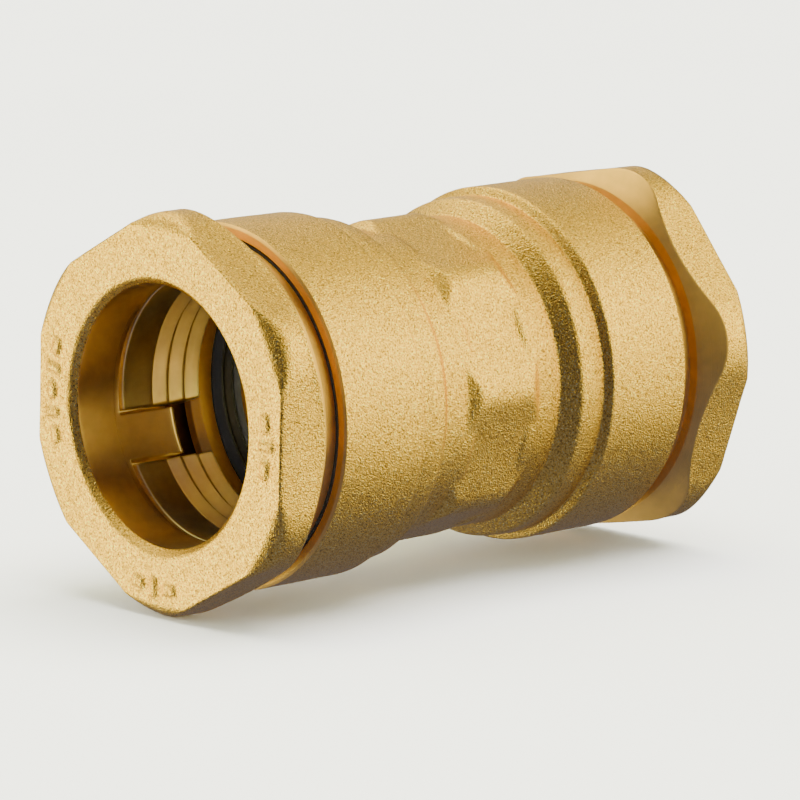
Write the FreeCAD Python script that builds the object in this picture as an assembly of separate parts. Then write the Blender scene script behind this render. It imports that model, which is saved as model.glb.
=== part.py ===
"""Push fit coupling for 32 mm plastic pressure pipe, in brass.

Frame: +X runs along the pipe axis, the origin is the middle of the body on that axis, +Z is up.
Both ends are the same, so every end piece is drawn once, in millimetres, as if it sat at the +X
end, where a distance along the axis is called a station. end_place() then carries it to its end.
Angles around the axis are counted from -Y towards +Z.
"""
import FreeCAD, Part
import math
import os

Vector = FreeCAD.Vector
ORIGIN = Vector(0, 0, 0)
AXIS = Vector(1, 0, 0)

# Pipe and overall size
PIPE_BORE_R = 16.25
HALF_LENGTH = 39.4

# Body, outside
BODY_HALF = 29.0
BODY_R = 22.8
BEAD_R = 21.7
BEAD_CROWN = 0.1
WAIST_R = 19.7
WAIST_END = 9.6
RAMP_END = 11.6
RAMP_BLEND = 0.5
BEAD_END = 15.3
STEP_END = 16.05
STEP_BLEND = 0.35
RIM_CHAMFER = 0.3

# Spanner octagon on the waist
OCTAGON_ACROSS_FLATS = 38.8
OCTAGON_CORNER_R = 20.6
OCTAGON_HALF = 4.3
OCTAGON_RAMP = 2.3
OCTAGON_PHASE = 1.5

# Body, inside
STOP_R = 13.3
STOP_HALF = 2.0
STOP_CHAMFER = 0.6
SOCKET_R = 16.3
SOCKET_LEAD = 0.5
SEAL_SEAT = 11.9
SEAL_POCKET_R = 19.2
SEAL_POCKET_END = 16.4
CHAMBER_R = 20.3
CHAMBER_END = 21.7
THREAD_BORE_R = 21.0
THREAD_BORE_END = 27.0
MOUTH_R = 21.35

# Nut
NUT_ACROSS_FLATS = 46.0
NUT_CORNER_ROUND = 9.5
NUT_FRONT_R = 23.6
NUT_FRONT_CHAMFER = 0.7
NUT_BACK = 31.5
NUT_BACK_R = 22.2
SPIGOT_R = 20.9
SPIGOT_END = 22.1
SPIGOT_CHAMFER = 0.5
NUT_BORE_CHAMFER = 0.95
POCKET_FRONT = 32.0
POCKET_REAR_R = 19.2
TAPER_DEG = 11.0
RIB_WIDTH = 6.0
RIB_REAR_R = 16.45
RIB_LEAD_ROUND = 1.4
RIB_FROM_CORNER = 7.5
NUT_CORNER_A = 207.0
NUT_CORNER_B = 9.0

# Raised bars and dots on the nut's front face: angle from a corner, radius and how many
MARK_GROUPS = [(30, 20.2, 5), (210, 20.2, 3), (300, 21.2, 3)]
MARK_STEP_DEG = 8.0
MARK_HEIGHT = 0.35
MARK_SINK = 0.2
MARK_WIDTH = 0.9
BAR_LENGTH = 1.8
DOT_LENGTH = 0.3

# O-ring groove on the nut
GROOVE_START = 27.25
GROOVE_END = 28.85
GROOVE_R = 19.9
O_RING_SECTION = 1.38

# Jaws
JAW_COUNT = 3
JAW_FRONT = 31.15
JAW_REAR = 19.35
JAW_TAPER_GAP = 0.12
JAW_SIDE_GAP = 0.45
JAW_LAND_R = 16.5
JAW_ROOT_R = 16.6
JAW_TOOTH_R = 15.75
JAW_EDGE = 0.25
TOOTH_COUNT = 3
TOOTH_FRONT = 26.2
TOOTH_PITCH = 2.6
TOOTH_SLOPE = 1.45
TOOTH_BACK = 0.15

# Thrust ring, seal and backing ring
THRUST_R_IN = 16.9
THRUST_R_OUT = 19.05
THRUST_REAR = 16.3
THRUST_FRONT = 19.25
THRUST_EDGE = 0.35
THRUST_LEAD = 0.9
SEAL_R_OUT = 19.1
SEAL_R_LIP = 15.7
SEAL_R_WAIST = 16.6
SEAL_REAR = 12.95
SEAL_FRONT = 16.25
LIP_WIDTH = 0.5
BACKING_R_IN = 16.4
BACKING_R_OUT = 19.1
BACKING_FRONT = 12.9


def radial(angle_deg):
    """Unit vector that points away from the axis at an angle."""
    angle = math.radians(angle_deg)
    return Vector(0, -math.cos(angle), math.sin(angle))


def turned(profile):
    """Solid of revolution about the axis from a closed list of (station, radius) corners.

    A corner given as a pair of points is an arc: the point it bends through and where it ends.
    """
    start = Vector(profile[0][0], profile[0][1], 0)
    here = start
    edges = []
    for corner in profile[1:]:
        if isinstance(corner[0], tuple):
            middle = Vector(corner[0][0], corner[0][1], 0)
            there = Vector(corner[1][0], corner[1][1], 0)
            edges.append(Part.Arc(here, middle, there).toShape())
        else:
            there = Vector(corner[0], corner[1], 0)
            edges.append(Part.LineSegment(here, there).toShape())
        here = there
    edges.append(Part.LineSegment(here, start).toShape())
    return Part.Face(Part.Wire(edges)).revolve(ORIGIN, AXIS, 360)


def polygon_bar(sides, across_flats, corner_deg, x_low, x_high):
    """Prism along the axis with a corner at corner_deg."""
    corner_r = across_flats / 2 / math.cos(math.pi / sides)
    step = 360 / sides
    points = [radial(corner_deg + step * k) * corner_r + Vector(x_low, 0, 0) for k in range(sides)]
    points.append(points[0])
    return Part.Face(Part.makePolygon(points)).extrude(Vector(x_high - x_low, 0, 0))


def rib_bar(angle_deg, half_width, low, high):
    """Long block that stands out of the axis at an angle, between two stations."""
    reach = 2 * BODY_R
    bar = Part.makeBox(high - low, 2 * half_width, reach, Vector(low, -half_width, 0))
    bar.rotate(ORIGIN, AXIS, 90 - angle_deg)
    return bar


def end_place(shape, end):
    """Carry a piece drawn at the +X end to end a (-X) or end b (+X)."""
    placed = shape.copy()
    if end == "a":
        placed.rotate(ORIGIN, Vector(0, 0, 1), 180)
    return placed


def local_angle(angle_deg, end):
    """Angle in the drawing of an end piece for an angle on the finished coupling."""
    return 180 - angle_deg if end == "a" else angle_deg


def corner_angle(end):
    """Angle of one hexagon corner in the drawing of an end's nut."""
    return local_angle(NUT_CORNER_A if end == "a" else NUT_CORNER_B, end)


def rib_angles(end):
    """Angles of the three ribs in the drawing of an end's nut."""
    return [corner_angle(end) + RIB_FROM_CORNER + 120 * k for k in range(JAW_COUNT)]


def taper_radius(station):
    """Radius of the nut's tapered pockets, which close towards the mouth."""
    return POCKET_REAR_R - (station - SPIGOT_END) * math.tan(math.radians(TAPER_DEG))


# ---- body ---------------------------------------------------------------------------------

def rise(low, high, blend):
    """Corners of a straight rise from low to high, which a tangent arc joins to a cylinder."""
    slope = math.atan2(high[1] - low[1], high[0] - low[0])
    arc_r = blend / math.tan(slope / 2)
    start = (high[0] - blend * math.cos(slope), high[1] - blend * math.sin(slope))
    end = (high[0] + blend, high[1])
    middle = (end[0] - arc_r * math.sin(slope / 2), end[1] - arc_r * (1 - math.cos(slope / 2)))
    return [low, start, (middle, end)]


def body_outside():
    """Forged outside: round waist, bead, step and large ends, mirrored about the middle."""
    bead_middle = (RAMP_END + RAMP_BLEND + BEAD_END) / 2
    half = rise((WAIST_END, WAIST_R), (RAMP_END, BEAD_R), RAMP_BLEND)
    half.append(((bead_middle, BEAD_R + BEAD_CROWN), (BEAD_END, BEAD_R)))
    half += rise((BEAD_END, BEAD_R), (STEP_END, BODY_R), STEP_BLEND)[1:]
    half += [
        (BODY_HALF - RIM_CHAMFER, BODY_R),
        (BODY_HALF, BODY_R - RIM_CHAMFER),
        (BODY_HALF, 0),
    ]
    right = turned([(0, 0), (0, WAIST_R)] + half)
    left = right.copy()
    left.rotate(ORIGIN, Vector(0, 0, 1), 180)
    return right.fuse(left)


def octagon():
    """Spanner section with rounded corners that ramp down to the waist at both ends."""
    reach = OCTAGON_HALF + OCTAGON_RAMP
    foot = WAIST_R - 0.3
    limit = turned([
        (-reach, 0),
        (-reach, foot),
        (-OCTAGON_HALF, OCTAGON_CORNER_R),
        (OCTAGON_HALF, OCTAGON_CORNER_R),
        (reach, foot),
        (reach, 0),
    ])
    bar = polygon_bar(8, OCTAGON_ACROSS_FLATS, OCTAGON_PHASE, -reach, reach)
    return bar.common(limit)


def body_inside():
    """Everything bored out of the body, from the pipe stop to the two mouths."""
    half = [
        (STOP_HALF - STOP_CHAMFER, STOP_R),
        (STOP_HALF, STOP_R + STOP_CHAMFER),
        (STOP_HALF, SOCKET_R),
        (SEAL_SEAT - SOCKET_LEAD, SOCKET_R),
        (SEAL_SEAT, SOCKET_R + SOCKET_LEAD),
        (SEAL_SEAT, SEAL_POCKET_R),
        (SEAL_POCKET_END, SEAL_POCKET_R),
        (SEAL_POCKET_END, CHAMBER_R),
        (CHAMBER_END, CHAMBER_R),
        (CHAMBER_END, THREAD_BORE_R),
        (THREAD_BORE_END, THREAD_BORE_R),
        (THREAD_BORE_END, MOUTH_R),
        (BODY_HALF + 1, MOUTH_R),
        (BODY_HALF + 1, 0),
    ]
    right = turned([(0, 0), (0, STOP_R)] + half)
    left = right.copy()
    left.rotate(ORIGIN, Vector(0, 0, 1), 180)
    return right.fuse(left)


def make_body():
    """One forging: the octagon stands out of the round waist only at its corners."""
    flats_cut = polygon_bar(8, OCTAGON_ACROSS_FLATS, OCTAGON_PHASE, -OCTAGON_HALF, OCTAGON_HALF)
    sleeve = Part.makeCylinder(BODY_R, 2 * OCTAGON_HALF, Vector(-OCTAGON_HALF, 0, 0), AXIS)
    outside = body_outside().cut(sleeve.cut(flats_cut)).fuse(octagon())
    return outside.cut(body_inside()).removeSplitter()


# ---- nut ----------------------------------------------------------------------------------

def nut_head(end):
    """Hexagon with rounded corners, a filleted front edge and a turned 45 degree back."""
    hexagon = polygon_bar(6, NUT_ACROSS_FLATS, corner_angle(end), NUT_BACK, HALF_LENGTH)
    long_edges = [edge for edge in hexagon.Edges
                  if abs(edge.Vertexes[0].X - edge.Vertexes[-1].X) > 1]
    hexagon = hexagon.makeFillet(NUT_CORNER_ROUND, long_edges)
    front_edges = [edge for edge in hexagon.Edges
                   if min(vertex.X for vertex in edge.Vertexes) > HALF_LENGTH - 0.01]
    hexagon = hexagon.makeChamfer(NUT_FRONT_CHAMFER, front_edges)
    reach = NUT_ACROSS_FLATS / 2 / math.cos(math.pi / 6)
    limit = turned([
        (NUT_BACK, 0),
        (NUT_BACK, NUT_BACK_R),
        (NUT_BACK + reach - NUT_BACK_R, reach),
        (HALF_LENGTH - reach + NUT_FRONT_R, reach),
        (HALF_LENGTH, NUT_FRONT_R),
        (HALF_LENGTH, 0),
    ])
    return hexagon.common(limit)


def nut_spigot():
    """Threaded spigot, drawn as a plain cylinder, with its O-ring groove."""
    return turned([
        (SPIGOT_END, 0),
        (SPIGOT_END, SPIGOT_R - SPIGOT_CHAMFER),
        (SPIGOT_END + SPIGOT_CHAMFER, SPIGOT_R),
        (GROOVE_START, SPIGOT_R),
        (GROOVE_START, GROOVE_R),
        (GROOVE_END, GROOVE_R),
        (GROOVE_END, SPIGOT_R),
        (NUT_BACK + 1, SPIGOT_R),
        (NUT_BACK + 1, 0),
    ])


def nut_bore():
    """Clean bore through the nut, opened at the mouth; the ribs draft back from it a little."""
    quarter = (1 - math.sqrt(0.5)) * RIB_LEAD_ROUND
    return turned([
        (SPIGOT_END - 1, 0),
        (SPIGOT_END - 1, RIB_REAR_R + RIB_LEAD_ROUND),
        (SPIGOT_END, RIB_REAR_R + RIB_LEAD_ROUND),
        ((SPIGOT_END + quarter, RIB_REAR_R + quarter),
         (SPIGOT_END + RIB_LEAD_ROUND, RIB_REAR_R)),
        (POCKET_FRONT, PIPE_BORE_R),
        (HALF_LENGTH - NUT_BORE_CHAMFER, PIPE_BORE_R),
        (HALF_LENGTH, PIPE_BORE_R + NUT_BORE_CHAMFER),
        (HALF_LENGTH + 1, PIPE_BORE_R + NUT_BORE_CHAMFER),
        (HALF_LENGTH + 1, 0),
    ])


def jaw_pockets(end):
    """Three tapered pockets between the ribs, open at the spigot's end."""
    rear = SPIGOT_END - 1
    cone = turned([
        (rear, 0),
        (rear, taper_radius(rear)),
        (POCKET_FRONT, taper_radius(POCKET_FRONT)),
        (POCKET_FRONT, 0),
    ])
    for angle in rib_angles(end):
        cone = cone.cut(rib_bar(angle, RIB_WIDTH / 2, rear - 1, POCKET_FRONT + 1))
    return cone


def face_mark(angle_deg, radius, length):
    """Raised bar along the radius on the nut's front face, rounded at both ends."""
    low = HALF_LENGTH - MARK_SINK
    height = MARK_HEIGHT + MARK_SINK
    bar = Part.makeBox(height, MARK_WIDTH, length, Vector(low, -MARK_WIDTH / 2, radius - length / 2))
    for side in (-1, 1):
        middle = Vector(low, 0, radius + side * length / 2)
        bar = bar.fuse(Part.makeCylinder(MARK_WIDTH / 2, height, middle, AXIS))
    bar.rotate(ORIGIN, AXIS, 90 - angle_deg)
    return bar


def nut_marks(end):
    """Groups of plain bars with a dot between each two."""
    marks = []
    for from_corner, radius, count in MARK_GROUPS:
        for step in range(count):
            angle = corner_angle(end) + from_corner + MARK_STEP_DEG * (step - (count - 1) / 2)
            marks.append(face_mark(angle, radius, DOT_LENGTH if step % 2 else BAR_LENGTH))
    return marks


def make_nut(end):
    """Hexagon nut with jaw pockets inside its threaded spigot."""
    nut = nut_head(end).fuse(nut_spigot()).cut(nut_bore()).cut(jaw_pockets(end))
    return nut.fuse(nut_marks(end)).removeSplitter()


# ---- pieces inside ------------------------------------------------------------------------

def jaw_ring():
    """The whole ring that the jaws of one end are cut from: tapered back, land and teeth."""
    teeth = []
    for tooth in range(TOOTH_COUNT):
        front = TOOTH_FRONT - tooth * TOOTH_PITCH
        crest = front - TOOTH_SLOPE
        teeth += [(front, JAW_ROOT_R), (crest, JAW_TOOTH_R), (crest - TOOTH_BACK, JAW_TOOTH_R)]
        if tooth < TOOTH_COUNT - 1:
            teeth.append((crest - TOOTH_BACK, JAW_ROOT_R))
    return turned([
        (JAW_REAR, JAW_ROOT_R),
        (JAW_REAR, taper_radius(JAW_REAR) - JAW_TAPER_GAP - JAW_EDGE),
        (JAW_REAR + JAW_EDGE, taper_radius(JAW_REAR + JAW_EDGE) - JAW_TAPER_GAP),
        (JAW_FRONT, taper_radius(JAW_FRONT) - JAW_TAPER_GAP),
        (JAW_FRONT, JAW_LAND_R + JAW_EDGE),
        (JAW_FRONT - JAW_EDGE, JAW_LAND_R),
    ] + teeth)


def make_jaws(end):
    """Three toothed jaws, in the order of the ribs that each one follows."""
    ring = jaw_ring()
    half_width = RIB_WIDTH / 2 + JAW_SIDE_GAP
    for angle in rib_angles(end):
        ring = ring.cut(rib_bar(angle, half_width, JAW_REAR - 1, JAW_FRONT + 1))
    jaws = []
    for angle in rib_angles(end):
        towards = radial(angle + 180 / JAW_COUNT)
        jaws.append(max(ring.Solids, key=lambda solid: solid.CenterOfMass.dot(towards)))
    return jaws


def make_thrust_ring():
    """Brass ring that passes the jaws' push on to the seal."""
    return turned([
        (THRUST_REAR, THRUST_R_IN),
        (THRUST_REAR, THRUST_R_OUT - THRUST_EDGE),
        (THRUST_REAR + THRUST_EDGE, THRUST_R_OUT),
        (THRUST_FRONT, THRUST_R_OUT),
        (THRUST_FRONT, THRUST_R_IN + THRUST_LEAD),
        (THRUST_FRONT - THRUST_LEAD, THRUST_R_IN),
    ])


def make_seal():
    """Rubber seal with a round lip near each end and a waist between the two."""
    quarter = (SEAL_FRONT - SEAL_REAR) / 4
    profile = [
        (SEAL_REAR, SEAL_R_WAIST),
        (SEAL_REAR, SEAL_R_OUT),
        (SEAL_FRONT, SEAL_R_OUT),
        (SEAL_FRONT, SEAL_R_WAIST),
    ]
    for lip in (SEAL_FRONT - quarter, SEAL_REAR + quarter):
        profile.append((lip + LIP_WIDTH, SEAL_R_WAIST))
        profile.append(((lip, SEAL_R_LIP), (lip - LIP_WIDTH, SEAL_R_WAIST)))
    return turned(profile)


def make_backing_ring():
    """Stiff plastic ring that keeps the rubber out of the gap round the pipe."""
    return turned([
        (SEAL_SEAT, BACKING_R_IN),
        (SEAL_SEAT, BACKING_R_OUT),
        (BACKING_FRONT, BACKING_R_OUT),
        (BACKING_FRONT, BACKING_R_IN),
    ])


def make_o_ring():
    """Round-section ring in the nut's groove, just inside the body's mouth."""
    section_r = O_RING_SECTION / 2
    ring_r = GROOVE_R + section_r + 0.02
    station = (GROOVE_START + GROOVE_END) / 2
    return Part.makeTorus(ring_r, section_r, Vector(station, 0, 0), AXIS)


def end_pieces(end):
    """Every piece of one end, named and in place."""
    pieces = {
        "nut_" + end: make_nut(end),
        "nut_o_ring_" + end: make_o_ring(),
        "thrust_ring_" + end: make_thrust_ring(),
        "lip_seal_" + end: make_seal(),
        "backing_ring_" + end: make_backing_ring(),
    }
    for number, jaw in enumerate(make_jaws(end), start=1):
        pieces["jaw_%s%d" % (end, number)] = jaw
    return {name: end_place(shape, end) for name, shape in pieces.items()}


def main():
    """Write one STEP file per piece."""
    os.makedirs("parts", exist_ok=True)
    pieces = {"body": make_body()}
    for end in ("a", "b"):
        pieces.update(end_pieces(end))
    for name, shape in pieces.items():
        solids = shape.Solids
        solid = solids[0] if len(solids) == 1 else Part.makeCompound(solids)
        solid.exportStep("parts/%s.step" % name)
        print(name, "solids", len(solids), "valid", shape.isValid(), "volume %.0f" % solid.Volume)


main()
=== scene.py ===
"""Looks of the brass push fit coupling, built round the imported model.

Both ends are alike, so each end piece is drawn once in millimetres as if it sat at the +X end, where
a distance along the axis is called a station, and round_grid() turns it round to the -X end where
it belongs there. Angles round the axis are counted from -Y towards +Z. Every piece of the fitting is
one grid of quads: rows go round its section and columns go round the axis.
"""
import bpy
import math
import numpy as np
from mathutils import Matrix, Vector


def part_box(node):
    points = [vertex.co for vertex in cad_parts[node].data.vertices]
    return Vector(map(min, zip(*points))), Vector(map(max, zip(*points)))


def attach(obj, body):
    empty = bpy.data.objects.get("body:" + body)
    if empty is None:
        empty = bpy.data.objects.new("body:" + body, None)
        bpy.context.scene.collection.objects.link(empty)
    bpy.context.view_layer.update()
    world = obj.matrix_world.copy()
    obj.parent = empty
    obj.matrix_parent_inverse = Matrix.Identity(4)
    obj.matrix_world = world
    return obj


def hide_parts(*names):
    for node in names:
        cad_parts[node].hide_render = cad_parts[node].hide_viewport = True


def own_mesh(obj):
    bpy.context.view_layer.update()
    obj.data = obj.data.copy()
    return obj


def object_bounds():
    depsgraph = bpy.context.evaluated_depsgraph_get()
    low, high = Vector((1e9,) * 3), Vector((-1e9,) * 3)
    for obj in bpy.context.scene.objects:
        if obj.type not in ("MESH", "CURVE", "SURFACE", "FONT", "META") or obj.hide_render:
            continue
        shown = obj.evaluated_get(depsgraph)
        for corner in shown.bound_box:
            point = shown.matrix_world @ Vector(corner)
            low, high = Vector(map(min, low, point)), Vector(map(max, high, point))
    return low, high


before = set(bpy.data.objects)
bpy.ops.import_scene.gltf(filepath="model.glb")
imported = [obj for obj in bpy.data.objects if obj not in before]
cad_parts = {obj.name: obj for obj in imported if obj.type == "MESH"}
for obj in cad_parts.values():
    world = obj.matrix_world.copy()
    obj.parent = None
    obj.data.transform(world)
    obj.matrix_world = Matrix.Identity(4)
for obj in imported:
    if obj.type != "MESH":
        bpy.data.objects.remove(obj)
cad_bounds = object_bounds()

MM = 0.001
ENDS = {"a": -1, "b": 1}


def corners_mm(node):
    """Lowest and highest corner of a CAD node, in millimetres."""
    low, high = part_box(node)
    return [value / MM for value in low], [value / MM for value in high]


BODY_HALF = corners_mm("body")[1][0]
BODY_R = corners_mm("body")[1][2]
SPIGOT_END = corners_mm("nut_b")[0][0]
THRUST_REAR, THRUST_FRONT = (corners_mm("thrust_ring_b")[k][0] for k in (0, 1))
SEAL_REAR, SEAL_FRONT = (corners_mm("lip_seal_b")[k][0] for k in (0, 1))
BACKING_REAR, BACKING_FRONT = (corners_mm("backing_ring_b")[k][0] for k in (0, 1))
THRUST_R_OUT = corners_mm("thrust_ring_b")[1][2]
SEAL_R_OUT = corners_mm("lip_seal_b")[1][2]
O_RING_LOW, O_RING_HIGH = corners_mm("nut_o_ring_b")

# Body, outside
WAIST_R = 19.7
WAIST_END = 9.6
RAMP_END = 11.6
BEAD_END = 15.3
BEAD_R = 21.7
BEAD_CROWN = 0.1
STEP_END = 16.05
RIM_CHAMFER = 0.3
OCTAGON_FLAT = 19.4
OCTAGON_CORNER_R = 20.6
OCTAGON_CORNER_BLEND = 0.35
OCTAGON_HALF = 4.3
OCTAGON_RAMP = 2.3
OCTAGON_RAMP_SINK = 0.3
OCTAGON_CORE_SINK = 0.6
OCTAGON_END_BLEND = 0.35
OCTAGON_RAMP_BLEND = 0.15
OCTAGON_FOOT_BLEND = 0.08
OCTAGON_PHASE = 1.5

# Body, inside
STOP_R = 13.3
STOP_HALF = 2.0
STOP_CHAMFER = 0.6
SOCKET_R = 16.3
SOCKET_LEAD = 0.5
SEAL_POCKET_R = 19.2
SEAL_POCKET_END = 16.4
CHAMBER_R = 20.3
CHAMBER_END = 21.7
THREAD_END = 27.0
THREAD_R = 21.0
MOUTH_R = 21.35
MOUTH_CHAMFER = 0.2
BODY_COLUMNS = 480

# Forged skin: the size and height of its waves, and the seed of each piece that has it
SKIN_WAVES = ((6.0, 0.06), (1.7, 0.016), (0.6, 0.008))
SKIN_SEEDS = {"body": 11, "nut_a": 31, "nut_b": 47}
NUT_SKIN_DEPTH = 0.06
# Where the waves begin and where they are whole, measured from the turned surface beside them
BODY_SKIN_EDGE = (0.35, 1.0)
NUT_BACK_EDGE = (0.0, 0.8)
NUT_BORE_EDGE = (0.1, 0.8)

# Nut
NUT_FRONT = 39.4
NUT_FLAT = 23.0
NUT_CORNER_ROUND = 9.5
NUT_BACK = 31.5
NUT_BACK_R = 22.2
NUT_FRONT_R = 23.6
NUT_FRONT_DROP = 0.35
NUT_BORE_R = 16.25
NUT_BORE_FRONT = 38.45
NUT_BORE_FLARE = 0.95
SPIGOT_R = 20.9
GROOVE_R = 19.9
GROOVE_START, GROOVE_END = 27.25, 28.85
POCKET_FRONT = 32.0
POCKET_REAR_R = 19.2
POCKET_LEAD = 0.3
POCKET_STEP = 0.02
TAPER = math.tan(math.radians(11.0))
RIB_HALF = 3.0
RIB_FROM_CORNER = 7.5
RIB_REAR_R = 16.45
RIB_LEAD = 1.4
NUT_CORNERS = {"a": -27.0, "b": 9.0}
PITCH = 1.5
THREAD_DEPTH = 0.8
THREAD_LEAD = 0.2
THREAD_PLAY = 0.12
THREAD_FADE = 0.5
THREAD_RISE = 1.0
THREAD_RUN_OUT = 0.6
CREST_GAIN, CREST_DROP = 1.45, 0.22
END_FACE_R = SPIGOT_R - THREAD_DEPTH - THREAD_LEAD
RIB_COLUMNS = 28
POCKET_COLUMNS = 160
RIB_EDGE = math.asin(RIB_HALF / NUT_BORE_R)
RIB_SIDE_SPREAD = 0.004

# Rings and seals, inside
THRUST_R_IN = 16.9
THRUST_LEAD = 0.9
SEAL_FRONT_R = 16.75
SEAL_REAR_R = 16.7
SEAL_LIP_R = 15.8
SEAL_GROOVE_R = 16.45
FRONT_LIP_BACK, GROOVE_BACK = 0.9, 1.55
REAR_LIP_AHEAD = 0.85
BACKING_R_IN = 16.4
FLASH_HEIGHT = 0.02
FLASH_WIDTH = 0.12
O_RING_STEPS = 32
THRUST_COLUMNS = SEAL_COLUMNS = 256
BACKING_COLUMNS = 200
O_RING_COLUMNS = 240

# Jaws
JAW_FRONT = 31.15
JAW_REAR = 19.35
JAW_GAP = 0.12
JAW_SIDE = RIB_HALF + 0.45
JAW_LAND_R = 16.5
JAW_ROOT_R = 16.6
JAW_TOOTH_R = 15.75
JAW_REAR_STEP = 0.6
TOOTH_FRONT = 26.2
TOOTH_COUNT = 3
TOOTH_PITCH = 2.6
TOOTH_SLOPE = 1.45
TOOTH_CREST = 0.15
TOOTH_BACK = 0.25
TOOTH_FOOT = 0.05
JAW_END_ROUND = 0.07
JAW_END_SHARE_X, JAW_END_SHARE_R = 0.6, 0.3
JAW_COLUMNS = 90


# ---- mesh building ------------------------------------------------------------------------

def smooth_step(low, high, value):
    """0 below low, 1 above high, with a smooth rise between."""
    t = np.clip((value - low) / (high - low), 0, 1)
    return t * t * (3 - 2 * t)


def smooth_min(a, b, blend):
    """The lower of two values, with their corner rounded over about blend."""
    h = np.clip(0.5 + 0.5 * (b - a) / blend, 0, 1)
    return b + (a - b) * h - blend * h * (1 - h)


def smooth_max(a, b, blend):
    """The higher of two values, with their corner rounded over about blend."""
    return -smooth_min(-a, -b, blend)


def lattice_noise(points, cell, seed):
    """Smooth noise from -1 to 1 at each point, from random values on a cubic lattice."""
    size = 64
    values = np.random.default_rng(seed).uniform(-1, 1, (size, size, size))
    scaled = points / cell
    base = np.floor(scaled).astype(int)
    part = scaled - base
    part = part * part * (3 - 2 * part)
    total = np.zeros(points.shape[:-1])
    for corner in range(8):
        offset = np.array([corner & 1, corner >> 1 & 1, corner >> 2 & 1])
        weight = np.prod(np.where(offset, part, 1 - part), axis=-1)
        index = (base + offset) % size
        total += weight * values[index[..., 0], index[..., 1], index[..., 2]]
    return total


def corner_reach(corners, i):
    """How far the rounding of an outline's corner reaches along its two sides."""
    here = np.array(corners[i][:2], float)
    before = np.array(corners[i - 1][:2], float) - here
    after = np.array(corners[(i + 1) % len(corners)][:2], float) - here
    cosine = before @ after / np.linalg.norm(before) / np.linalg.norm(after)
    return corners[i][2] / math.tan(math.acos(np.clip(cosine, -1, 1)) / 2)


def rounded(corners):
    """Closed outline with its corners rounded.

    corners holds (station, radius, rounding, steps, step length, tag): the rounding of that corner,
    the number of steps in its arc, and the longest step and the tag of the run that follows it.
    Returns the points and the tag of the quad row after each one.
    """
    points, tags = [], []
    count = len(corners)
    for i, (x, r, _, steps, run, tag) in enumerate(corners):
        here = np.array([x, r], float)
        before = np.array(corners[i - 1][:2], float)
        after = np.array(corners[(i + 1) % count][:2], float)
        into = (before - here) / np.linalg.norm(before - here)
        out = (after - here) / np.linalg.norm(after - here)
        reach, next_reach = (corner_reach(corners, k % count) for k in (i, i + 1))
        first, last, stop = here + into * reach, here + out * reach, after - out * next_reach
        for k in range(steps + 1):
            t = k / steps
            points.append((1 - t) ** 2 * first + 2 * t * (1 - t) * here + t * t * last)
            tags.append(corners[i - 1][5] if k < steps / 2 else tag)
        pieces = max(1, math.ceil(np.linalg.norm(stop - last) / run))
        for k in range(1, pieces):
            points.append(last + (stop - last) * k / pieces)
            tags.append(tag)
    return np.array(points), tags


def tagged(tags, wanted):
    """Which rows of a grid carry a tag, as a column to go with the grid."""
    return np.array([tag == wanted for tag in tags])[:, None]


def round_grid(name, x, r, angle, tags, end=None, sector=False):
    """Mesh object from a grid of stations, radii and angles, each of rows by columns.

    A piece of end a is turned half round. A sector stops at its first and last columns, with a cap
    on each.
    """
    rows, columns = x.shape
    points = np.stack([x, -r * np.cos(angle), r * np.sin(angle)], axis=-1).reshape(-1, 3) * MM
    if end == "a":
        points = points * np.array([-1, -1, 1])
    across = columns - 1 if sector else columns
    i, j = np.meshgrid(np.arange(rows), np.arange(across), indexing="ij")
    i_next, j_next = (i + 1) % rows, (j + 1) % columns
    quads = np.stack([i * columns + j, i_next * columns + j,
                      i_next * columns + j_next, i * columns + j_next], axis=-1).reshape(-1, 4)
    faces = [tuple(q) for q in quads.tolist()]
    slots = [tags[k] for k in range(rows) for _ in range(across)]
    if sector:
        faces.append(tuple(k * columns for k in reversed(range(rows))))
        faces.append(tuple(k * columns + columns - 1 for k in range(rows)))
        slots += [tags[0], tags[0]]
    mesh = bpy.data.meshes.new(name)
    mesh.from_pydata(points.tolist(), [], faces)
    names = list(dict.fromkeys(slots))
    for slot in names:
        mesh.materials.append(MATERIALS[slot])
    mesh.polygons.foreach_set("material_index", [names.index(slot) for slot in slots])
    mesh.polygons.foreach_set("use_smooth", [True] * len(faces))
    mesh.validate()
    mesh.update()
    piece = bpy.data.objects.new(name, mesh)
    bpy.context.scene.collection.objects.link(piece)
    return piece


def turned_piece(name, outline, columns, end):
    """Plain solid of revolution from a rounded outline."""
    points, tags = outline
    angle = np.linspace(0, 2 * math.pi, columns, endpoint=False)
    x = np.repeat(points[:, :1], columns, axis=1)
    r = np.repeat(points[:, 1:], columns, axis=1)
    return round_grid(name, x, r, np.broadcast_to(angle, x.shape), tags, end)


def forged_skin(x, r, angle, seed):
    """Uneven skin of a hot forging: how far each point stands out of its drawn place."""
    points = np.stack([x, -r * np.cos(angle), r * np.sin(angle)], axis=-1)
    return sum(height * lattice_noise(points, cell, seed + k)
               for k, (cell, height) in enumerate(SKIN_WAVES))


# ---- materials ----------------------------------------------------------------------------

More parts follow.
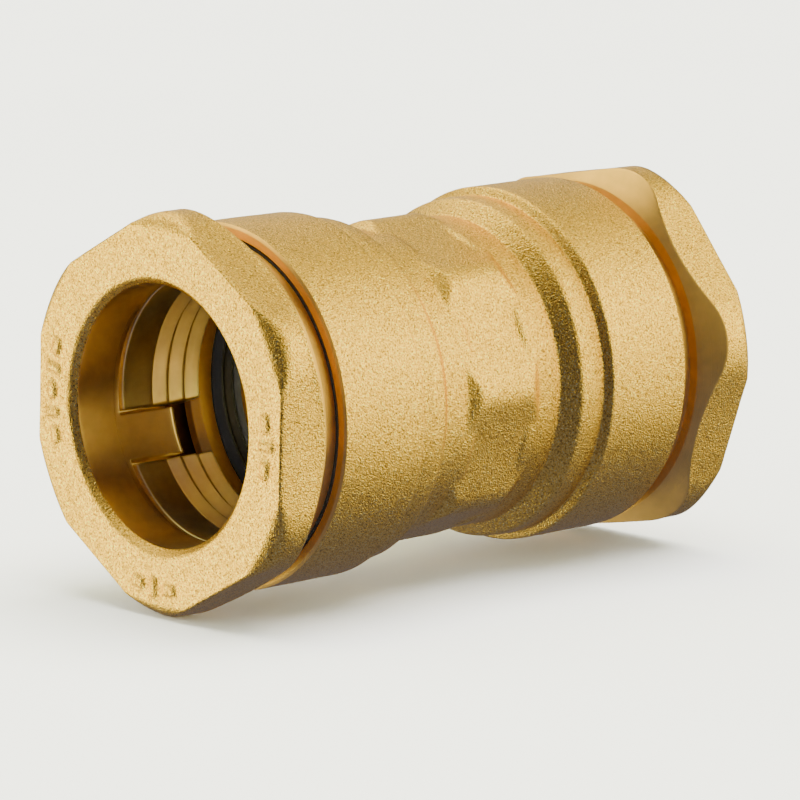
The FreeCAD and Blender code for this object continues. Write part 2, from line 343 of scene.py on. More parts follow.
class Nodes:
    """A material's node tree, with short calls to add and join nodes."""

    def __init__(self, name):
        self.material = bpy.data.materials.new(name)
        self.material.use_nodes = True
        self.tree = self.material.node_tree
        self.tree.nodes.clear()
        self.output = self.add("ShaderNodeOutputMaterial")
        self.shader = self.add("ShaderNodeBsdfPrincipled")
        self.join(self.shader, "BSDF", self.output, "Surface")
        self.place = self.add("ShaderNodeTexCoord")

    def add(self, kind, **values):
        node = self.tree.nodes.new(kind)
        for key, value in values.items():
            setattr(node, key, value)
        return node

    def join(self, source, output, target, socket):
        self.tree.links.new(source.outputs[output], target.inputs[socket])

    def noise(self, scale, detail, roughness):
        node = self.add("ShaderNodeTexNoise")
        node.inputs["Scale"].default_value = scale
        node.inputs["Detail"].default_value = detail
        node.inputs["Roughness"].default_value = roughness
        self.join(self.place, "Object", node, "Vector")
        return node

    def ramp(self, source, output, stops):
        """Colour ramp with its stops as (position, colour)."""
        node = self.add("ShaderNodeValToRGB")
        elements = node.color_ramp.elements
        while len(elements) < len(stops):
            elements.new(0.5)
        for element, (position, colour) in zip(elements, stops):
            element.position = position
            element.color = (*colour, 1)
        self.join(source, output, node, "Fac")
        return node

    def spread(self, source, output, low, high, from_low=0.0, from_high=1.0):
        """Map range from (from_low, from_high) to (low, high)."""
        node = self.add("ShaderNodeMapRange")
        for socket, value in (("From Min", from_low), ("From Max", from_high),
                              ("To Min", low), ("To Max", high)):
            node.inputs[socket].default_value = value
        self.join(source, output, node, "Value")
        return node

    def math(self, operation, first, second=None):
        """Math node; each input is (node, output) or a number."""
        node = self.add("ShaderNodeMath", operation=operation)
        for index, value in enumerate((first, second)):
            if value is None:
                continue
            if isinstance(value, tuple):
                self.tree.links.new(value[0].outputs[value[1]], node.inputs[index])
            else:
                node.inputs[index].default_value = value
        return node

    def mix(self, factor, first, second):
        """Mix of the colours of two ramps; a factor of 1 is all the second."""
        node = self.add("ShaderNodeMix", data_type="RGBA")
        node.inputs["Factor"].default_value = factor
        for socket, source in ((6, first), (7, second)):
            self.join(source, "Color", node, socket)
        return node

    def bump(self, source, output, distance, below=None):
        """Bump from a height, on top of the bump below it."""
        node = self.add("ShaderNodeBump")
        node.inputs["Strength"].default_value = 1.0
        node.inputs["Distance"].default_value = distance
        self.join(source, output, node, "Height")
        if below is not None:
            self.join(below, "Normal", node, "Normal")
        return node


# Sizes of the patterns, in waves to the metre, and the depths of the bumps, in metres
GRAIN_SCALE, GRAIN_DEPTH = 3900, 0.00011
FACET_SCALE, FACET_DEPTH = 4600, 0.00005
PATCH_SCALE = 160
STAIN_SCALE = 220
RING_SCALE = 7000
MOULD_GRAIN_SCALE = 4200
FLECK_SHARE = 0.85


def forged_brass():
    """Hot forged and shot blasted brass: pale gold, grainy, with bright facets and dark pits."""
    m = Nodes("forged_brass")
    grain = m.noise(GRAIN_SCALE, 2, 0.7)
    facets = m.add("ShaderNodeTexVoronoi")
    facets.inputs["Scale"].default_value = FACET_SCALE
    m.join(m.place, "Object", facets, "Vector")
    patches = m.noise(PATCH_SCALE, 4, 0.65)
    tone = m.ramp(patches, "Fac", [(0.32, (0.86, 0.47, 0.075)), (0.68, (0.96, 0.56, 0.100))])
    fleck = m.ramp(grain, "Fac", [(0.34, (0.22, 0.11, 0.030)), (0.44, (0.77, 0.42, 0.070)),
                                  (0.55, (0.97, 0.57, 0.100)), (0.66, (1.0, 0.76, 0.26))])
    colour = m.mix(FLECK_SHARE, tone, fleck)
    m.join(colour, 2, m.shader, "Base Color")
    rough = m.spread(grain, "Fac", 0.40, 0.26, 0.35, 0.65)
    m.join(rough, "Result", m.shader, "Roughness")
    facet_bump = m.bump(facets, "Distance", FACET_DEPTH)
    grain_bump = m.bump(grain, "Fac", GRAIN_DEPTH, facet_bump)
    m.join(grain_bump, "Normal", m.shader, "Normal")
    m.shader.inputs["Metallic"].default_value = 1.0
    m.shader.inputs["Specular Tint"].default_value = (1.0, 0.90, 0.76, 1)
    return m.material


def turned_brass(name, tint, roughness, across, ring_depth):
    """Lathe-cut brass: satin, warm, with fine cutting rings.

    across is how far the rings spread its shine across them, and ring_depth their depth in metres.
    """
    m = Nodes(name)
    place = m.add("ShaderNodeSeparateXYZ")
    m.join(m.place, "Object", place, "Vector")
    y_square = m.math("POWER", (place, "Y"), 2.0)
    z_square = m.math("POWER", (place, "Z"), 2.0)
    radius = m.math("SQRT", (m.math("ADD", (y_square, 0), (z_square, 0)), 0))
    position = m.math("ADD", (radius, 0), (place, "X"))
    rings = m.add("ShaderNodeTexNoise", noise_dimensions="1D")
    rings.inputs["Scale"].default_value = RING_SCALE
    rings.inputs["Detail"].default_value = 3
    m.join(position, 0, rings, "W")
    stain = m.noise(STAIN_SCALE, 4, 0.6)
    colour = m.ramp(stain, "Fac", [(0.3, tuple(0.80 * c for c in tint)), (0.7, tint)])
    m.join(colour, "Color", m.shader, "Base Color")
    rough = m.spread(rings, "Fac", roughness * 0.85, roughness * 1.15)
    m.join(rough, "Result", m.shader, "Roughness")
    around = m.add("ShaderNodeTangent", direction_type="RADIAL", axis="X")
    m.join(around, "Tangent", m.shader, "Tangent")
    m.shader.inputs["Anisotropic"].default_value = across
    m.shader.inputs["Anisotropic Rotation"].default_value = 0.25
    ring_bump = m.bump(rings, "Fac", ring_depth)
    m.join(ring_bump, "Normal", m.shader, "Normal")
    m.shader.inputs["Metallic"].default_value = 1.0
    return m.material


def moulded(name, colour, roughness, grain_depth):
    """Rubber or plastic from a mould, with a faint bloom and a fine grain."""
    m = Nodes(name)
    bloom = m.noise(PATCH_SCALE, 5, 0.6)
    tone = m.ramp(bloom, "Fac", [(0.35, colour), (0.75, tuple(1.7 * c + 0.004 for c in colour))])
    m.join(tone, "Color", m.shader, "Base Color")
    rough = m.spread(bloom, "Fac", roughness - 0.08, roughness + 0.12)
    m.join(rough, "Result", m.shader, "Roughness")
    grain = m.noise(MOULD_GRAIN_SCALE, 2, 0.5)
    grain_bump = m.bump(grain, "Fac", grain_depth)
    m.join(grain_bump, "Normal", m.shader, "Normal")
    return m.material


MATERIALS = {
    "forged": forged_brass(),
    "turned": turned_brass("turned_brass", tint=(1.0, 0.60, 0.17), roughness=0.50, across=0.80,
                           ring_depth=0.000016),
    "bore": turned_brass("bored_brass", tint=(0.98, 0.66, 0.36), roughness=0.30, across=0.5,
                         ring_depth=0.000005),
    # Painted shade: the body's deep bore behind the thread gets turned brass at about half the
    # brightness of the rest, standing in for the dark inside the body
    "socket": turned_brass("socket_brass_painted_shade", tint=(0.50, 0.27, 0.09), roughness=0.45, across=0.3,
                           ring_depth=0.000010),
    # Painted light: the jaws get turned brass much paler than the rest, lifting the teeth to the
    # brightness of the light they catch
    "jaw": turned_brass("jaw_brass", tint=(1.0, 0.88, 0.54), roughness=0.30, across=0.3,
                        ring_depth=0.000010),
    "rubber": moulded("black_rubber", colour=(0.011, 0.011, 0.012), roughness=0.42,
                      grain_depth=0.00002),
    "plastic": moulded("grey_plastic", colour=(0.10, 0.10, 0.105), roughness=0.50,
                       grain_depth=0.00003),
}


# ---- body ---------------------------------------------------------------------------------

def octagon_radius(angle):
    """Distance from the axis to a rounded octagon's side, at each angle."""
    sector = math.pi / 4
    off_flat = (angle - math.radians(OCTAGON_PHASE)) % sector - sector / 2
    return smooth_min(OCTAGON_FLAT / np.cos(off_flat), OCTAGON_CORNER_R, OCTAGON_CORNER_BLEND)


def waist_radius(away, angle):
    """Radius of the waist and its octagon, by the distance from the body's middle and the angle."""
    fall = OCTAGON_CORNER_R - WAIST_R + OCTAGON_RAMP_SINK
    ramp = OCTAGON_CORNER_R - (away - OCTAGON_HALF) * fall / OCTAGON_RAMP
    octagon = smooth_min(octagon_radius(angle), ramp, OCTAGON_RAMP_BLEND)
    inner = smooth_step(OCTAGON_END_BLEND, -OCTAGON_END_BLEND, away - OCTAGON_HALF)
    return smooth_max(WAIST_R - OCTAGON_CORE_SINK * inner, octagon, OCTAGON_FOOT_BLEND)


def thread_crest(x, angle):
    """How far a right-hand thread stands out at each station and angle, from 0 to 1."""
    turn = (x / PITCH + angle / (2 * math.pi)) % 1.0
    return np.clip(CREST_GAIN * np.abs(2 * turn - 1) - CREST_DROP, 0, 1)


def body_half_outline():
    """Half of the body's section, from the middle of the outside to the middle of the bore."""
    # The rows tagged b (chamber, seal pocket, socket and stop) take the darkened brass that paints
    # the shade deep in the bore
    f, t, b = "forged", "turned", "socket"
    return [
        (0.0, WAIST_R, 0, 1, 0.33, f),
        (WAIST_END, WAIST_R, 0.5, 3, 0.3, f),
        (RAMP_END, BEAD_R, 1.1, 5, 0.33, f),
        ((RAMP_END + BEAD_END) / 2, BEAD_R + BEAD_CROWN, 2.0, 3, 0.33, f),
        (BEAD_END, BEAD_R, 0.35, 3, 0.2, f),
        (STEP_END, BODY_R, 0.6, 4, 0.36, f),
        (BODY_HALF - RIM_CHAMFER, BODY_R, 0.06, 2, 0.2, t),
        (BODY_HALF, BODY_R - RIM_CHAMFER, 0.06, 2, 0.5, t),
        (BODY_HALF, MOUTH_R + MOUTH_CHAMFER, 0.05, 2, 0.3, t),
        (BODY_HALF - MOUTH_CHAMFER, MOUTH_R, 0.05, 2, 0.8, t),
        (THREAD_END, MOUTH_R, 0.05, 2, 0.5, t),
        (THREAD_END, THREAD_R, 0.02, 2, 0.125, "thread"),
        (CHAMBER_END, THREAD_R, 0.02, 2, 0.4, b),
        (CHAMBER_END, CHAMBER_R, 0.05, 2, 1.0, b),
        (SEAL_POCKET_END, CHAMBER_R, 0.05, 2, 0.6, b),
        (SEAL_POCKET_END, SEAL_POCKET_R, 0.08, 2, 1.0, b),
        (BACKING_REAR, SEAL_POCKET_R, 0.05, 2, 1.0, b),
        (BACKING_REAR, SOCKET_R + SOCKET_LEAD, 0.08, 2, 0.4, b),
        (BACKING_REAR - SOCKET_LEAD, SOCKET_R, 0.08, 2, 1.0, b),
        (STOP_HALF, SOCKET_R, 0.1, 2, 0.8, b),
        (STOP_HALF, STOP_R + STOP_CHAMFER, 0.08, 2, 0.4, b),
        (STOP_HALF - STOP_CHAMFER, STOP_R, 0.08, 2, 1.0, b),
    ]


def body_outline():
    """The whole closed section of the body."""
    right = body_half_outline()
    left = []
    # In the mirrored half, the run after a corner is the one that came before it.
    for i in range(len(right) - 1, 0, -1):
        x, r, rounding, steps = right[i][:4]
        run, tag = right[i - 1][4:]
        left.append((-x, r, rounding, steps, run, tag))
    left[-1] = (*left[-1][:4], right[0][4], right[0][5])
    return right[1:] + left


def make_body():
    """The forging, with its octagon, and the threads inside its two mouths."""
    points, tags = rounded(body_outline())
    angle = np.linspace(0, 2 * math.pi, BODY_COLUMNS, endpoint=False)[None, :]
    x = np.repeat(points[:, :1], BODY_COLUMNS, axis=1)
    r = np.repeat(points[:, 1:], BODY_COLUMNS, axis=1)
    angles = np.broadcast_to(angle, x.shape).copy()
    outside = tagged(tags, "forged")
    away = np.abs(x)
    r = np.where(outside & (away < WAIST_END - 1), waist_radius(away, angles), r)
    skin = forged_skin(x, r, angles, SKIN_SEEDS["body"])
    r = np.where(outside, r + skin * smooth_step(*BODY_SKIN_EDGE, BODY_HALF - away), r)
    fade = (smooth_step(0, THREAD_FADE, THREAD_END - away)
            * smooth_step(0, THREAD_FADE, away - CHAMBER_END))
    # The body's ridges fill the grooves of the nut, whose thread is drawn as if at the +X end.
    local = np.where(x > 0, angles, math.pi - angles)
    ridge = 1 - thread_crest(away, local)
    ridged = tagged(tags, "thread")
    r = np.where(ridged, r - (THREAD_DEPTH - THREAD_PLAY) * ridge * fade, r)
    tags = ["turned" if tag == "thread" else tag for tag in tags]
    body = round_grid("body_shell", x, r, angles, tags)
    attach(body, "root")
    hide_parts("body")


# ---- nut ----------------------------------------------------------------------------------

def hexagon_radius(angle, corner_deg):
    """Distance from the axis to the side of a hexagon with rounded corners, at each angle."""
    sector = math.pi / 3
    off_corner = np.abs((angle - math.radians(corner_deg) + sector / 2) % sector - sector / 2)
    flat = NUT_FLAT / np.cos(sector / 2 - off_corner)
    centre = (NUT_FLAT - NUT_CORNER_ROUND) / math.cos(math.pi / 6)
    reach = NUT_CORNER_ROUND ** 2 - (centre * np.sin(off_corner)) ** 2
    arc = centre * np.cos(off_corner) + np.sqrt(np.maximum(reach, 0))
    touch = math.atan2(NUT_CORNER_ROUND * math.sin(math.pi / 6),
                       centre + NUT_CORNER_ROUND * math.cos(math.pi / 6))
    return np.where(off_corner < touch, arc, flat)


def taper_radius(station):
    """Radius of the nut's tapered pockets."""
    return POCKET_REAR_R - (station - SPIGOT_END) * TAPER


def column_outline(corners):
    """Rounded outline whose corners differ from column to column.

    corners holds (station, radius, rounding, steps, pieces, tag), where station and radius are
    arrays over the columns, and pieces is how many steps the run after the corner takes.
    """
    rows, tags = [], []
    count = len(corners)
    places = [np.stack(np.broadcast_arrays(np.asarray(c[0], float), np.asarray(c[1], float)))
              for c in corners]
    width = max(p.shape[1] if p.ndim > 1 else 1 for p in places)
    places = [np.broadcast_to(p.reshape(2, -1), (2, width)) for p in places]

    def cut(i, j):
        """Point beside corner i on the way to corner j."""
        way = places[j] - places[i]
        length = np.maximum(np.linalg.norm(way, axis=0), 1e-6)
        return places[i] + way / length * np.minimum(corners[i][2], 0.45 * length)

    for i, (_, _, _, steps, pieces, tag) in enumerate(corners):
        before, after = (i - 1) % count, (i + 1) % count
        first, last = cut(i, before), cut(i, after)
        for k in range(steps + 1):
            t = k / steps
            rows.append((1 - t) ** 2 * first + 2 * t * (1 - t) * places[i] + t * t * last)
            tags.append(corners[before][5] if k < steps / 2 else tag)
        stop = cut(after, i)
        for k in range(1, pieces):
            rows.append(last + (stop - last) * k / pieces)
            tags.append(tag)
    rows = np.array(rows)
    return rows[:, 0], rows[:, 1], tags


def rib_middle(end, rib):
    """Angle of the middle of a nut's rib; a half stands for the pocket between two ribs."""
    return math.radians(NUT_CORNERS[end] + RIB_FROM_CORNER + 120 * rib)


def nut_columns(end):
    """Angles of the columns, with a narrow gap at each rib's edges, and which are pocket."""
    angles, pocket = [], []
    for rib in range(3):
        middle = rib_middle(end, rib)
        half = RIB_EDGE - RIB_SIDE_SPREAD
        inside = np.linspace(-half, half, RIB_COLUMNS)
        angles += list(middle + inside)
        pocket += [False] * len(inside)
        outside = np.linspace(RIB_EDGE, 2 * math.pi / 3 - RIB_EDGE, POCKET_COLUMNS)
        angles += list(middle + outside)
        pocket += [True] * len(outside)
    return np.array(angles), np.array(pocket)


# Raised marks on the nut's face: each group's angle from the nut's corner, count and radius
MARK_GROUPS = ((30, 5, 20.2), (210, 3, 20.2), (300, 3, 21.2))
MARK_STEP_DEG = 8.0
MARK_HEIGHT = 0.30
# Where a mark's slope starts and ends, outwards from its half sizes
MARK_SLOPE = (0.65, -0.05)
# Half sizes across and along the radius, of every other mark in a group and of those between
MARK_HALVES = ((0.75, 0.35), (0.20, 0.95))


def mark_height(angle, r, end):
    """Height of the raised marks on the nut's front face."""
    height = np.zeros(np.broadcast(angle, r).shape)
    for from_corner, count, mark_r in MARK_GROUPS:
        for k in range(count):
            step = MARK_STEP_DEG * (k - (count - 1) / 2)
            turn = math.radians(NUT_CORNERS[end] + from_corner + step)
            along = (angle - turn + math.pi) % (2 * math.pi) - math.pi
            half_across, half_radial = MARK_HALVES[k % 2]
            across = smooth_step(*MARK_SLOPE, np.abs(along * mark_r) - half_across)
            radial = smooth_step(*MARK_SLOPE, np.abs(r - mark_r) - half_radial)
            height = np.maximum(height, across * radial)
    return MARK_HEIGHT * height


def nut_outline(side, back_rise, pocket):
    """Section of a nut at each column: neck, back, hexagon, front, bore, and a pocket or a rib."""
    f, t, b = "forged", "turned", "bore"
    front_drop = np.maximum(side - NUT_FRONT_R, NUT_FRONT_DROP)
    pocket_front_r = np.where(pocket, taper_radius(POCKET_FRONT), NUT_BORE_R)
    lead_front = SPIGOT_END + np.where(pocket, POCKET_LEAD, RIB_LEAD)
    lead_front_r = np.where(pocket, taper_radius(SPIGOT_END + POCKET_LEAD), RIB_REAR_R)
    lead_rear_r = np.where(pocket, POCKET_REAR_R + POCKET_LEAD, RIB_REAR_R + RIB_LEAD)
    return column_outline([
        (SPIGOT_END, END_FACE_R, 0.06, 2, 1, t),
        (SPIGOT_END + THREAD_LEAD, SPIGOT_R - THREAD_DEPTH, 0.05, 2, 52, "thread"),
        (GROOVE_START, SPIGOT_R, 0.08, 2, 1, t),
        (GROOVE_START, GROOVE_R, 0.08, 2, 2, t),
        (GROOVE_END, GROOVE_R, 0.08, 2, 1, t),
        (GROOVE_END, SPIGOT_R, 0.08, 2, 3, t),
        (NUT_BACK, SPIGOT_R, 0.12, 2, 2, t),
        (NUT_BACK, NUT_BACK_R, 0.06, 2, 3, t),
        (NUT_BACK + back_rise, side, 0.22, 3, 18, f),
        (NUT_FRONT - front_drop, side, 1.0, 6, 2, f),
        (NUT_FRONT, side - front_drop, 1.0, 6, 26, f),
        (NUT_FRONT, NUT_BORE_R + NUT_BORE_FLARE, 0.55, 4, 4, f),
        (NUT_BORE_FRONT, NUT_BORE_R, 0.12, 3, 9, b),
        (POCKET_FRONT, NUT_BORE_R, 0.05, 2, 2, b),
        (POCKET_FRONT - POCKET_STEP, pocket_front_r, 0.1, 2, 12, b),
        (lead_front, lead_front_r, 0.3, 3, 2, b),
        (SPIGOT_END, lead_rear_r, 0.1, 2, 6, b),
    ])


def close_ribs(end, x, r, angles, bored):
    """A rib's two sides are parallel, so its columns close up beyond the bore's radius."""
    behind = bored & (x < POCKET_FRONT - POCKET_STEP / 2)
    beside = behind & (r > NUT_BORE_R + 0.01) & (r < END_FACE_R - 0.07)
    narrow = np.arcsin(RIB_HALF / np.maximum(r, NUT_BORE_R)) / RIB_EDGE
    for rib in range(3):
        middle = rib_middle(end, rib)
        off = (angles - middle + math.pi) % (2 * math.pi) - math.pi
        in_rib = beside & (np.abs(off) < RIB_EDGE + 1e-6)
        angles = np.where(in_rib, middle + off * narrow, angles)
    return angles


def make_nut(end):
    """Hexagon nut: forged outside and front, turned back, neck, thread and bore, three pockets."""
    angle, pocket = nut_columns(end)
    side = hexagon_radius(angle, NUT_CORNERS[end])
    back_rise = side - NUT_BACK_R
    x, r, tags = nut_outline(side, back_rise, pocket)
    angles = close_ribs(end, x, r, np.broadcast_to(angle, x.shape), tagged(tags, "bore"))
    forged = tagged(tags, "forged")
    on_front = (x > NUT_FRONT - 0.05) & forged
    skin = forged_skin(x, r, angles, SKIN_SEEDS["nut_" + end]) - NUT_SKIN_DEPTH
    fade_back = smooth_step(*NUT_BACK_EDGE, x - NUT_BACK - back_rise[None, :])
    fade_bore = smooth_step(*NUT_BORE_EDGE, r - NUT_BORE_R)
    r = np.where(forged & ~on_front, r + skin * fade_back * fade_bore, r)
    lift = mark_height(angles, r, end) + skin * fade_bore
    x = np.where(on_front, x + lift, x)
    lead = smooth_step(SPIGOT_END + THREAD_LEAD, SPIGOT_END + THREAD_RISE, x)
    run_out = smooth_step(0, THREAD_RUN_OUT, GROOVE_START - x)
    thread = SPIGOT_R - THREAD_DEPTH * (1 - lead * thread_crest(x, angles)) * run_out
    r = np.where(tagged(tags, "thread"), thread, r)
    tags = ["turned" if tag == "thread" else tag for tag in tags]
    nut = round_grid("nut_shell_" + end, x, r, angles, tags, end)
    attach(nut, "nut_" + end)
    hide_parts("nut_" + end)


# ---- pieces inside ------------------------------------------------------------------------

def jaw_outline():
    """Section of a jaw: tapered back, plain land and three teeth that lean to the middle."""
    # Every row takes the paler jaw brass, whose lighter tint is painted light on the teeth
    t = "jaw"
    corners = [
        (JAW_REAR, JAW_TOOTH_R + JAW_REAR_STEP, 0.06, 2, 1.0, t),
        (JAW_REAR, taper_radius(JAW_REAR) - JAW_GAP, 0.25, 3, 1.0, t),
        (JAW_FRONT, taper_radius(JAW_FRONT) - JAW_GAP, 0.12, 3, 0.4, t),
        (JAW_FRONT, JAW_LAND_R, 0.20, 4, 1.0, t),
        (TOOTH_FRONT + TOOTH_FOOT, JAW_ROOT_R, 0.1, 2, 1.0, t),
    ]
    for tooth in range(TOOTH_COUNT):
        crest = TOOTH_FRONT - tooth * TOOTH_PITCH - TOOTH_SLOPE
        corners.append((crest, JAW_TOOTH_R, 0.04, 2, 0.5, t))
        corners.append((crest - TOOTH_CREST, JAW_TOOTH_R, 0.04, 2, 0.5, t))
        if tooth < TOOTH_COUNT - 1:
            corners.append((crest - TOOTH_BACK, JAW_ROOT_R, 0.06, 2, 0.5, t))
            corners.append((TOOTH_FRONT - (tooth + 1) * TOOTH_PITCH, JAW_ROOT_R, 0.1, 2, 1.0, t))
    return rounded(corners)


def make_jaw(end, number):
    """One of the three jaws between two ribs."""
    points, tags = jaw_outline()
    middle = rib_middle(end, number - 0.5)
    share = np.linspace(-1, 1, JAW_COLUMNS)[None, :]
    ease = 1 - (1 - np.minimum(1, (1 - np.abs(share)) * JAW_COLUMNS)) ** 2
    x = np.repeat(points[:, :1], share.size, axis=1)
    r = np.repeat(points[:, 1:], share.size, axis=1)
    half = math.pi / 3 - np.arcsin(JAW_SIDE / r)
    angles = middle + share * half
    # The columns at both ends draw in towards the middle of the section, which rounds the ends.
    centre_x, centre_r = points.mean(axis=0)
    shrink = JAW_END_ROUND * (1 - ease)
    x = x - np.sign(x - centre_x) * shrink * JAW_END_SHARE_X
    r = r - np.sign(r - centre_r) * shrink * JAW_END_SHARE_R
    jaw = round_grid("jaw_%s%d_toothed" % (end, number), x, r, angles, tags, end, sector=True)
    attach(jaw, "jaw_%s%d" % (end, number))
    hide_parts("jaw_%s%d" % (end, number))


def make_thrust_ring(end):
    """Turned ring between the jaws and the seal."""
    t = "turned"
    outline = rounded([
        (THRUST_REAR, THRUST_R_IN, 0.12, 3, 1.0, t),
        (THRUST_REAR, THRUST_R_OUT, 0.35, 3, 1.0, t),
        (THRUST_FRONT, THRUST_R_OUT, 0.12, 3, 1.0, t),
        (THRUST_FRONT, THRUST_R_IN + THRUST_LEAD, 0.08, 2, 0.3, t),
        (THRUST_FRONT - THRUST_LEAD, THRUST_R_IN, 0.08, 2, 0.5, t),
    ])
    ring = turned_piece("thrust_ring_%s_turned" % end, outline, THRUST_COLUMNS, end)
    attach(ring, "thrust_ring_" + end)
    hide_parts("thrust_ring_" + end)


def make_seal(end):
    """Black rubber lip seal: two lips with a groove between them."""
    t = "rubber"
    outline = rounded([
        (SEAL_REAR, SEAL_REAR_R, 0.25, 4, 0.5, t),
        (SEAL_REAR, SEAL_R_OUT, 0.2, 3, 1.0, t),
        (SEAL_FRONT, SEAL_R_OUT, 0.2, 3, 1.0, t),
        (SEAL_FRONT, SEAL_FRONT_R, 0.2, 4, 0.3, t),
        (SEAL_FRONT - FRONT_LIP_BACK, SEAL_LIP_R, 0.25, 4, 0.3, t),
        (SEAL_FRONT - GROOVE_BACK, SEAL_GROOVE_R, 0.3, 4, 0.3, t),
        (SEAL_REAR + REAR_LIP_AHEAD, SEAL_LIP_R, 0.25, 4, 0.3, t),
    ])
    seal = turned_piece("lip_seal_%s_rubber" % end, outline, SEAL_COLUMNS, end)
    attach(seal, "root")
    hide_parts("lip_seal_" + end)
    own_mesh(seal)


def make_backing_ring(end):
    """Grey plastic ring behind the seal."""
    t = "plastic"
    outline = rounded([
        (BACKING_REAR, BACKING_R_IN, 0.1, 2, 0.5, t),
        (BACKING_REAR, SEAL_R_OUT, 0.1, 2, 1.0, t),
        (BACKING_FRONT, SEAL_R_OUT, 0.1, 2, 1.0, t),
        (BACKING_FRONT, BACKING_R_IN, 0.2, 3, 0.5, t),
    ])
    ring = turned_piece("backing_ring_%s_plastic" % end, outline, BACKING_COLUMNS, end)
    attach(ring, "root")
    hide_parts("backing_ring_" + end)


def make_o_ring(end):
    """Round rubber ring in the nut's groove, with the fine flash line of its mould."""
    station = (O_RING_LOW[0] + O_RING_HIGH[0]) / 2
    section = (O_RING_HIGH[0] - O_RING_LOW[0]) / 2
    ring_r = O_RING_HIGH[2] - section
    turn = np.linspace(0, 2 * math.pi, O_RING_STEPS + 1)[:-1]
    flash = FLASH_HEIGHT * np.exp(-((np.cos(turn) / FLASH_WIDTH) ** 2))
    grow = section - FLASH_HEIGHT + flash
    points = np.stack([station + grow * np.sin(turn), ring_r + grow * np.cos(turn)], axis=1)
    ring = turned_piece("nut_o_ring_%s_rubber" % end, (points, ["rubber"] * len(points)),
                        O_RING_COLUMNS, end)
    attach(ring, "o_ring_" + end)
    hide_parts("nut_o_ring_" + end)


# ---- studio -------------------------------------------------------------------------------

CAMERA_AZIMUTH = -42.3
CAMERA_ELEVATION = 9.9
CAMERA_ROLL = -0.56
CAMERA_DISTANCE = 28 * BODY_R
LENS_MM = 227.5
AIM = (0.0, -0.0266 * BODY_R, -0.1175 * BODY_R)

# Floor, in metres: flat up to a radius, then bent up into a wall
FLOOR_FLAT = 1.5
FLOOR_BEND = 1.5
FLOOR_WALL = 3.0
FLOOR_BEND_STEPS = 24
FLOOR_RINGS = (0.02, 0.4)
FLOOR_COLUMNS = 96


def direction(azimuth_deg, elevation_deg):
    """Unit vector from the object towards a place seen at an azimuth and elevation."""
    azimuth, elevation = math.radians(azimuth_deg), math.radians(elevation_deg)
    return Vector((math.sin(azimuth) * math.cos(elevation),
                   -math.cos(azimuth) * math.cos(elevation),
                   math.sin(elevation)))


def make_camera():
    """The camera at the viewing angle, far back with a long lens."""
    data = bpy.data.cameras.new("camera")
    data.lens = LENS_MM
    data.clip_start = 0.01
    data.clip_end = 20
    camera = bpy.data.objects.new("camera", data)
    bpy.context.scene.collection.objects.link(camera)
    back = direction(CAMERA_AZIMUTH, CAMERA_ELEVATION)
    turn = back.to_track_quat("Z", "Y").to_matrix().to_4x4()
    roll = Matrix.Rotation(math.radians(CAMERA_ROLL), 4, "Z")
    place = Matrix.Translation(Vector(AIM) * MM + back * CAMERA_DISTANCE * MM)
    camera.matrix_world = place @ turn @ roll
    bpy.context.scene.camera = camera


def make_floor():
    """Plain pale floor that curves up into a wall far away on every side."""
    level = cad_bounds[0][2]
    turn = np.linspace(0, math.pi / 2, FLOOR_BEND_STEPS)
    bent = FLOOR_FLAT + FLOOR_BEND * np.sin(turn)
    away = np.concatenate([FLOOR_RINGS, bent, [FLOOR_FLAT + FLOOR_BEND]])
    height = np.concatenate([[0, 0], FLOOR_BEND * (1 - np.cos(turn)), [FLOOR_WALL]])
    angle = np.linspace(0, 2 * math.pi, FLOOR_COLUMNS, endpoint=False)
    points = np.stack([np.outer(away, np.cos(angle)), np.outer(away, np.sin(angle)),
                       level + np.repeat(height[:, None], FLOOR_COLUMNS, axis=1)], axis=-1)
    faces = [tuple(range(FLOOR_COLUMNS))]
    for i in range(len(away) - 1):
        inner, outer = i * FLOOR_COLUMNS, (i + 1) * FLOOR_COLUMNS
        for j in range(FLOOR_COLUMNS):
            k = (j + 1) % FLOOR_COLUMNS
            faces.append((inner + j, outer + j, outer + k, inner + k))
    mesh = bpy.data.meshes.new("floor")
    mesh.from_pydata(points.reshape(-1, 3).tolist(), [], faces)
    mesh.polygons.foreach_set("use_smooth", [True] * len(faces))
    m = Nodes("pale_floor")
    speckle = m.noise(9, 3, 0.5)
    tone = m.ramp(speckle, "Fac", [(0.3, (0.86, 0.87, 0.90)), (0.7, (0.88, 0.89, 0.92))])
    m.join(tone, "Color", m.shader, "Base Color")
    m.shader.inputs["Roughness"].default_value = 0.9
    mesh.materials.append(m.material)
    floor = bpy.data.objects.new("floor", mesh)
    bpy.context.scene.collection.objects.link(floor)
    floor.visible_glossy = False


# Studio light: the same dim light from everywhere, and broad glows on top of it
DIM_LIGHT = (0.082, 0.102, 0.20)
GLOWS = (
    # direction, where it starts and where it is full (as cosines), colour, strength
    ((0.75, -0.58, 0.31), 0.62, 0.91, (1.0, 0.97, 0.30), 3.5),
    ((-0.60, 0.78, -0.20), 0.80, 0.95, (1.0, 0.98, 0.30), 4.6),
    ((0.01, 0.46, 0.89), 0.80, 0.96, (1.0, 0.97, 0.35), 3.8),
    ((-0.68, 0.70, 0.22), 0.63, 0.83, (1.0, 0.97, 0.50), 0.35),
    ((0.43, 0.80, 0.42), 0.80, 0.98, (0.95, 0.98, 0.90), 0.75),
    ((0.00, -0.15, -0.98), 0.10, 0.75, (1.00, 1.05, 1.50), 0.13),
)
FLOOR_LIGHT = 9.0
FLOOR_LIGHT_SPREAD_DEG = 60
FLOOR_LIGHT_TILT_DEG = (12, 8)


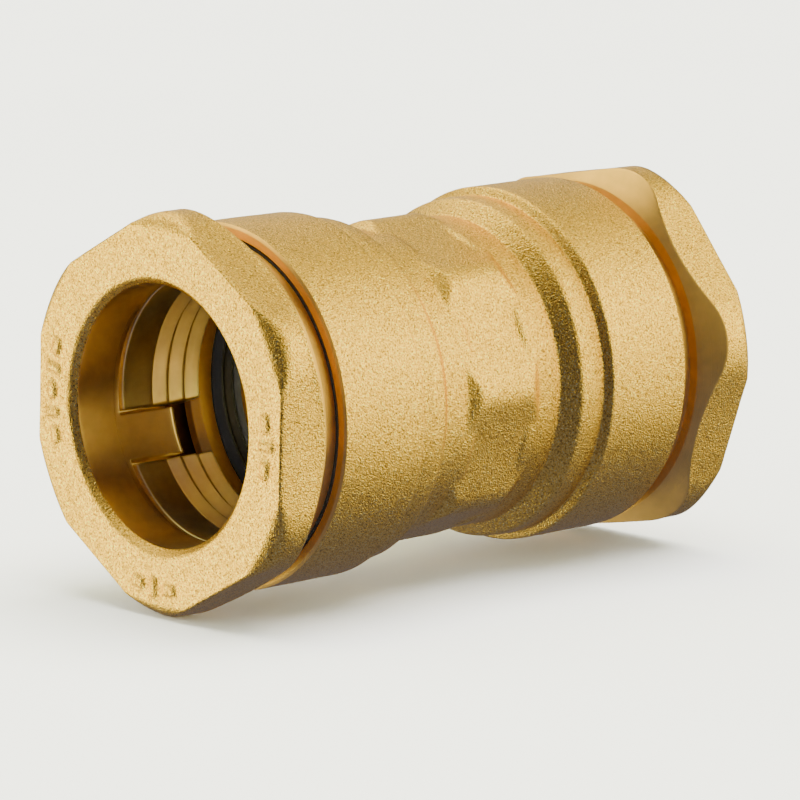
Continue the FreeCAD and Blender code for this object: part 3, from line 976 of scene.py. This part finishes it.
def make_floor_light():
    """Broad soft light overhead that leaves no shine: it lights the floor and matt surfaces."""
    data = bpy.data.lights.new("overhead", "SUN")
    data.energy = FLOOR_LIGHT
    data.angle = math.radians(FLOOR_LIGHT_SPREAD_DEG)
    data.color = (1.0, 0.99, 0.93)
    light = bpy.data.objects.new("overhead", data)
    light.rotation_euler = (*(math.radians(tilt) for tilt in FLOOR_LIGHT_TILT_DEG), 0)
    light.visible_glossy = False
    bpy.context.scene.collection.objects.link(light)


def make_studio():
    """Soft light from all round: broad glows at the sides, above and behind, dim below."""
    world = bpy.data.worlds.new("studio")
    bpy.context.scene.world = world
    world.use_nodes = True
    tree = world.node_tree
    place = tree.nodes.new("ShaderNodeTexCoord")
    total = tree.nodes.new("ShaderNodeCombineXYZ")
    for socket, value in zip(total.inputs, DIM_LIGHT):
        socket.default_value = value
    for way, start, full, colour, strength in GLOWS:
        dot = tree.nodes.new("ShaderNodeVectorMath")
        dot.operation = "DOT_PRODUCT"
        dot.inputs[1].default_value = Vector(way).normalized()
        tree.links.new(place.outputs["Generated"], dot.inputs[0])
        rise = tree.nodes.new("ShaderNodeMapRange")
        rise.interpolation_type = "SMOOTHSTEP"
        rise.inputs["From Min"].default_value = start
        rise.inputs["From Max"].default_value = full
        tree.links.new(dot.outputs["Value"], rise.inputs["Value"])
        scaled = tree.nodes.new("ShaderNodeVectorMath")
        scaled.operation = "SCALE"
        scaled.inputs[0].default_value = [strength * value for value in colour]
        tree.links.new(rise.outputs["Result"], scaled.inputs["Scale"])
        add = tree.nodes.new("ShaderNodeVectorMath")
        tree.links.new(scaled.outputs["Vector"], add.inputs[0])
        tree.links.new(total.outputs["Vector"], add.inputs[1])
        total = add
    tree.links.new(total.outputs["Vector"], tree.nodes["Background"].inputs["Color"])


make_camera()
make_body()
for end in ENDS:
    make_nut(end)
    make_o_ring(end)
    make_thrust_ring(end)
    make_seal(end)
    make_backing_ring(end)
    for number in (1, 2, 3):
        make_jaw(end, number)
make_floor()
make_floor_light()
make_studio()
